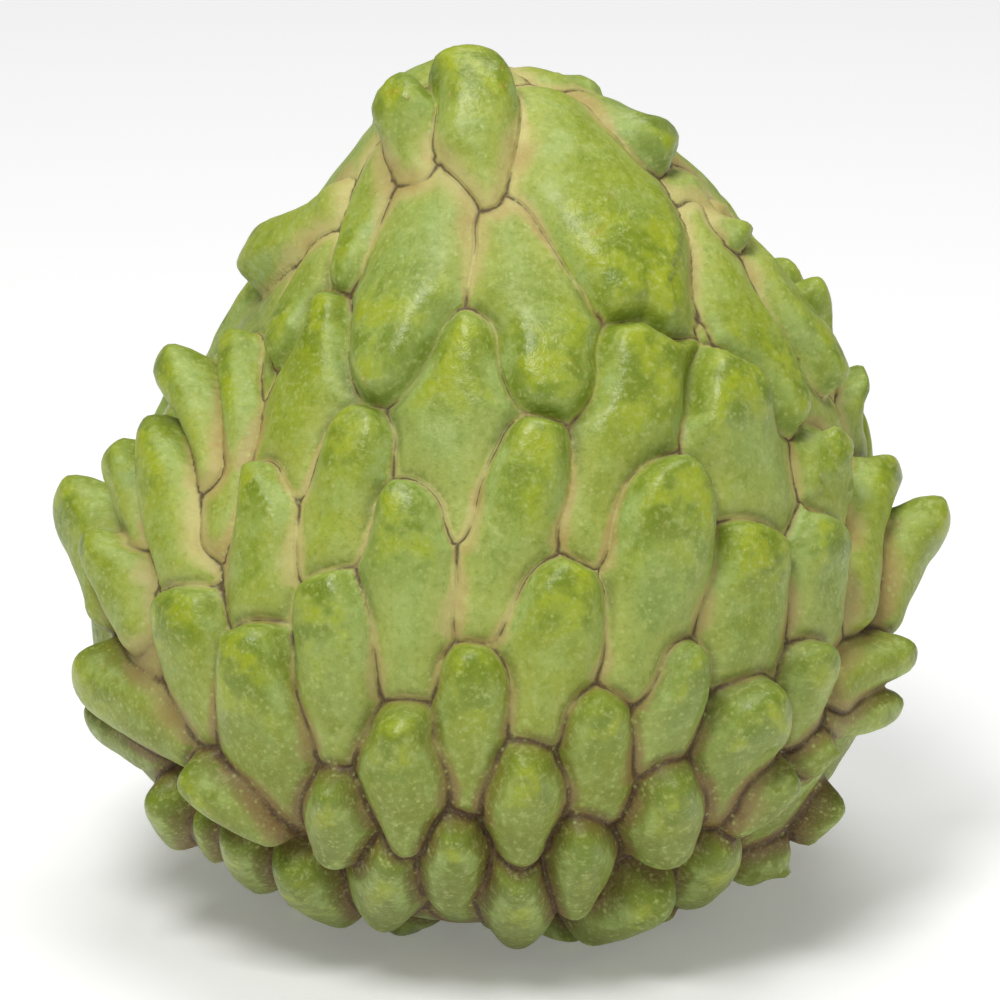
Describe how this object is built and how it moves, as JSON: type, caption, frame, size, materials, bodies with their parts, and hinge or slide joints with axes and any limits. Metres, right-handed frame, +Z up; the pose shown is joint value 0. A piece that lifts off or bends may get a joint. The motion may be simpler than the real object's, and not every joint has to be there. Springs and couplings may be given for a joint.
{
  "type": "atemoya",
  "caption": "Whole green heart-shaped atemoya with overlapping raised carpels over its rind, standing on its stem end with its apex up.",
  "frame": {"origin": "on the ground under the middle of the fruit's bounding box", "axes": "+Z up from the stem end to the apex, -Y towards the face that the picture shows, +X to that face's right"},
  "size_m": [0.1016, 0.0976, 0.1004],
  "materials": {
    "rind": "satin"
  },
  "bodies": {
    "root": {"atemoya": "rind"}
  },
  "joints": []
}
